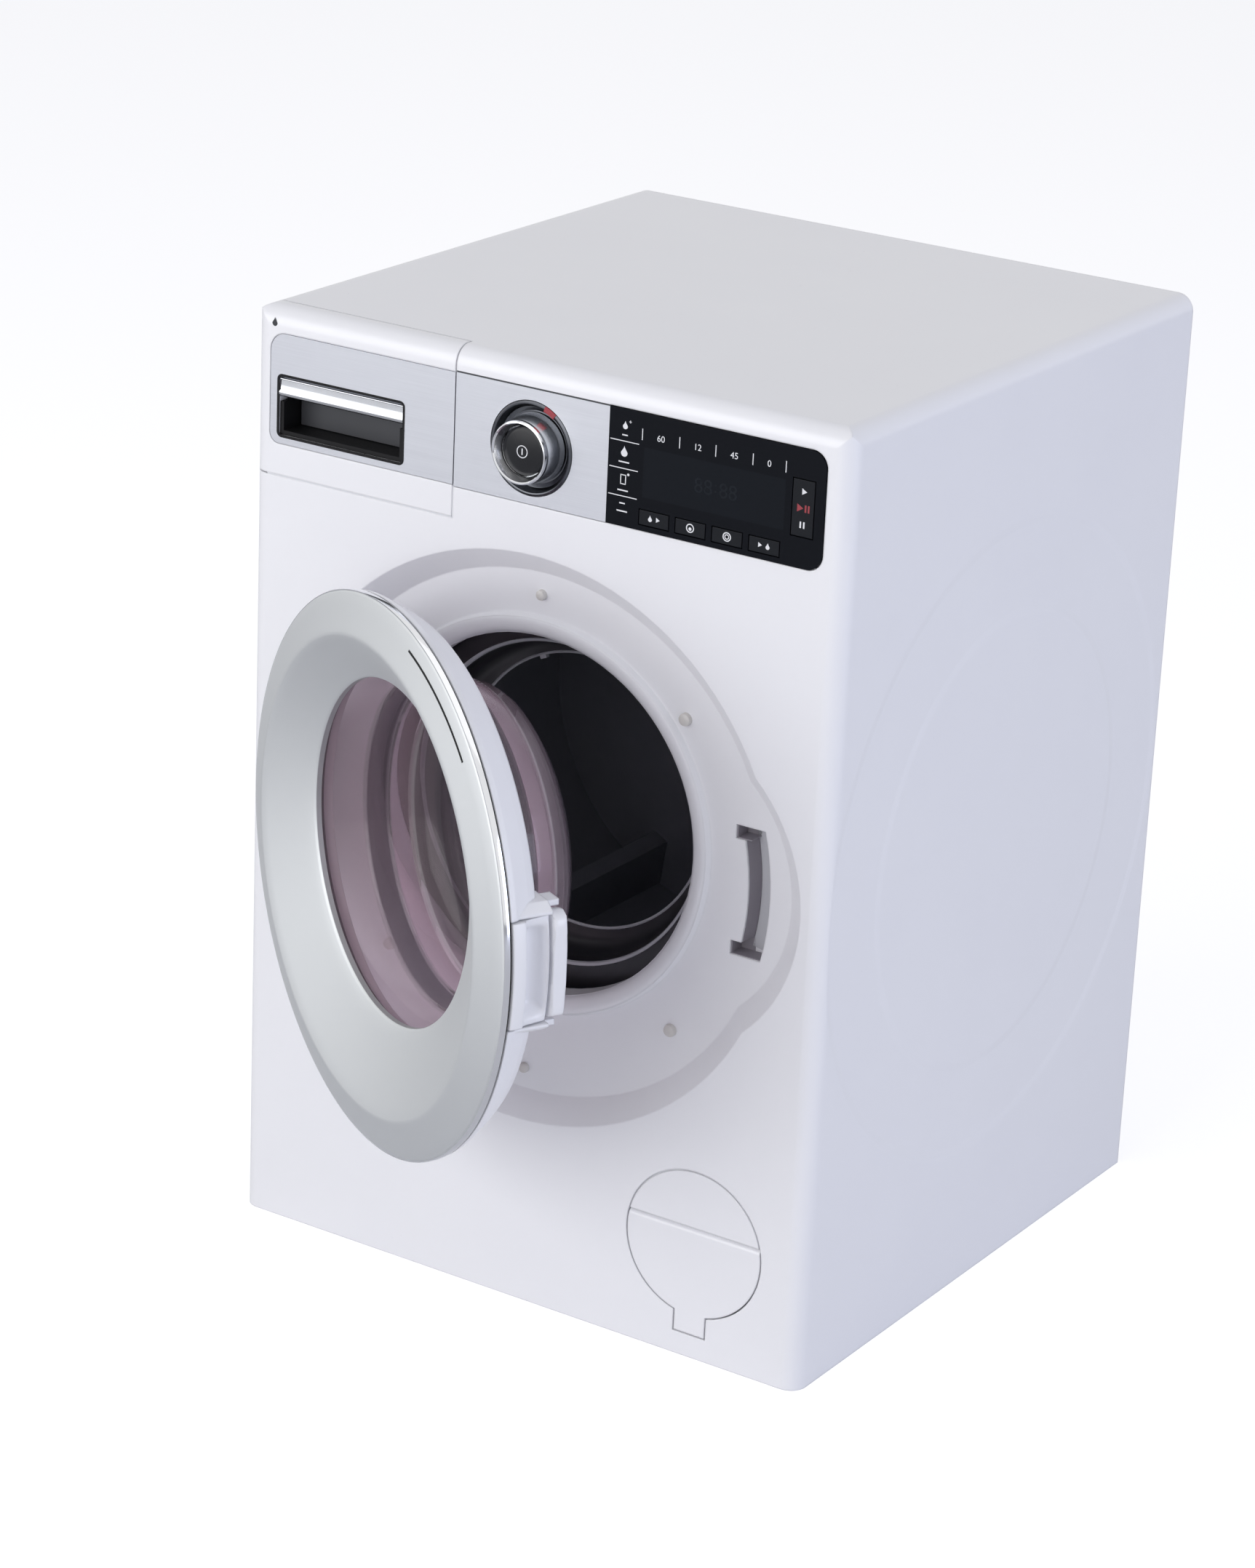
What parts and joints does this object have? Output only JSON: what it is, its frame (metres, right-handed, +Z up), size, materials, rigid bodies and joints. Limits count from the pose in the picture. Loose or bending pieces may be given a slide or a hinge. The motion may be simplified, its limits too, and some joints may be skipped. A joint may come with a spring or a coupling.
{
  "type": "toy washing machine",
  "caption": "White toy front-loading washing machine with a silver ringed door standing open, detergent drawer, dial, black display with keys, and a geared turning drum.",
  "frame": {"origin": "middle of the flat underside, on the floor", "axes": "X to the right seen from the front, Y to the rear, Z up; the door faces -Y"},
  "size_m": [0.186, 0.263, 0.265],
  "materials": {
    "housing_plastic": "glossy white moulded ABS",
    "inner_plastic": "plain moulded plastic",
    "screw_steel": "plated steel",
    "brushed_sheet": "brushed sheet, lines run from left to right",
    "chrome_trim": "bright plated plastic",
    "dark_chrome": "dark plated plastic",
    "black_plastic": "matt black plastic",
    "display_plastic": "polished black acrylic",
    "board_green": "lacquered circuit board",
    "silver_paint": "satin silver lacquer over plastic",
    "clear_plastic": "clear, slightly smoky moulded plastic",
    "seal_rubber": "soft black seal",
    "tub_plastic": "grey moulded plastic",
    "bush_brass": "turned bearing bush",
    "drum_plastic": "grey moulded plastic with a soft shine",
    "gear_plastic": "unfilled acetal",
    "motor_steel": "drawn steel can",
    "cell_wrap": "plain shrink wrap, no print",
    "wire_rubber": "soft wire sleeve"
  },
  "bodies": {
    "cabinet": {"housing": "housing_plastic", "rear_cover": "housing_plastic", "rear_screws": "screw_steel", "base_plate": "inner_plastic", "base_screws": "screw_steel", "drawer_guide": "inner_plastic", "control_panel": "brushed_sheet", "display_panel": "display_plastic", "dial_bezel": "dark_chrome", "control_board": "board_green", "board_screws": "screw_steel", "key_switches": "black_plastic", "display_module": "black_plastic", "dial_encoder": "black_plastic", "hinge_pin": "screw_steel", "door_seal": "seal_rubber", "tub": "tub_plastic", "tub_screws": "screw_steel", "drum_bush": "bush_brass", "gear_motor": "motor_steel", "motor_bracket": "inner_plastic", "motor_screws": "screw_steel", "flap_pin": "screw_steel", "battery_box": "inner_plastic", "battery_cells": "cell_wrap", "battery_contacts": "screw_steel", "battery_cover": "housing_plastic", "battery_screw": "screw_steel", "speaker": "black_plastic", "wiring": "wire_rubber"},
    "door": {"door_front_ring": "silver_paint", "door_back_ring": "housing_plastic", "door_bowl": "clear_plastic", "door_screws": "screw_steel", "latch_pin": "screw_steel", "latch_spring": "screw_steel"},
    "latch": {"latch_handle": "housing_plastic"},
    "drawer": {"drawer_front": "housing_plastic", "drawer_sheet": "brushed_sheet", "drawer_bar": "chrome_trim", "drawer_grip_well": "black_plastic", "drawer_tray": "inner_plastic", "drawer_screws": "screw_steel"},
    "dial": {"dial_knob": "dark_chrome", "dial_rim": "chrome_trim"},
    "power_key": {"power_button": "display_plastic"},
    "start": {"start_key": "display_plastic"},
    "programme_1": {"programme_key_1": "display_plastic"},
    "programme_2": {"programme_key_2": "display_plastic"},
    "programme_3": {"programme_key_3": "display_plastic"},
    "programme_4": {"programme_key_4": "display_plastic"},
    "drum": {"drum_shell": "drum_plastic", "drum_mouth_ring": "drum_plastic", "drum_lifters": "drum_plastic", "drum_shaft": "screw_steel", "drum_gear": "gear_plastic", "shaft_clip": "screw_steel"},
    "pinion": {"motor_pinion": "gear_plastic", "motor_shaft": "screw_steel"},
    "flap": {"filter_flap": "housing_plastic"}
  },
  "joints": [
    {"name": "door_hinge", "type": "hinge", "parent": "cabinet", "child": "door", "pos_m": [-0.0818, -0.0877, 0.1338], "axis": [0, 0, -1], "range_deg": [-28, 62]},
    {"name": "latch_hinge", "type": "hinge", "parent": "door", "child": "latch", "pos_m": [0.04713, -0.1643, 0.1338], "axis": [0, 0, 1], "range_deg": [0, 6], "stiffness_Nm_per_rad": 0.2},
    {"name": "drawer_slide", "type": "slide", "parent": "cabinet", "child": "drawer", "axis": [0, -1, 0], "range_m": [0, 0.045]},
    {"name": "dial_turn", "type": "hinge", "parent": "cabinet", "child": "dial", "pos_m": [-0.0026, -0.0915, 0.2423], "axis": [0, -1, 0], "continuous": true},
    {"name": "power_press", "type": "slide", "parent": "cabinet", "child": "power_key", "axis": [0, 1, 0], "range_m": [0, 0.0008], "stiffness_N_per_m": 300},
    {"name": "start_press", "type": "slide", "parent": "cabinet", "child": "start", "axis": [0, 1, 0], "range_m": [0, 0.0008], "stiffness_N_per_m": 300},
    {"name": "programme_1_press", "type": "slide", "parent": "cabinet", "child": "programme_1", "axis": [0, 1, 0], "range_m": [0, 0.0008], "stiffness_N_per_m": 300},
    {"name": "programme_2_press", "type": "slide", "parent": "cabinet", "child": "programme_2", "axis": [0, 1, 0], "range_m": [0, 0.0008], "stiffness_N_per_m": 300},
    {"name": "programme_3_press", "type": "slide", "parent": "cabinet", "child": "programme_3", "axis": [0, 1, 0], "range_m": [0, 0.0008], "stiffness_N_per_m": 300},
    {"name": "programme_4_press", "type": "slide", "parent": "cabinet", "child": "programme_4", "axis": [0, 1, 0], "range_m": [0, 0.0008], "stiffness_N_per_m": 300},
    {"name": "drum_spin", "type": "hinge", "parent": "cabinet", "child": "drum", "pos_m": [-0.0016, 0, 0.1396], "axis": [0, -1, 0], "continuous": true},
    {"name": "pinion_spin", "type": "hinge", "parent": "cabinet", "child": "pinion", "pos_m": [0.02689, 0.037, 0.11734], "axis": [0, -1, 0], "continuous": true},
    {"name": "flap_hinge", "type": "hinge", "parent": "cabinet", "child": "flap", "pos_m": [0.0588, -0.09, 0.0366], "axis": [-1, 0, 0], "range_deg": [0, 70]}
  ],
  "couplings": [
    {"joint": "pinion_spin", "follows": "drum_spin", "ratio": -5}
  ]
}
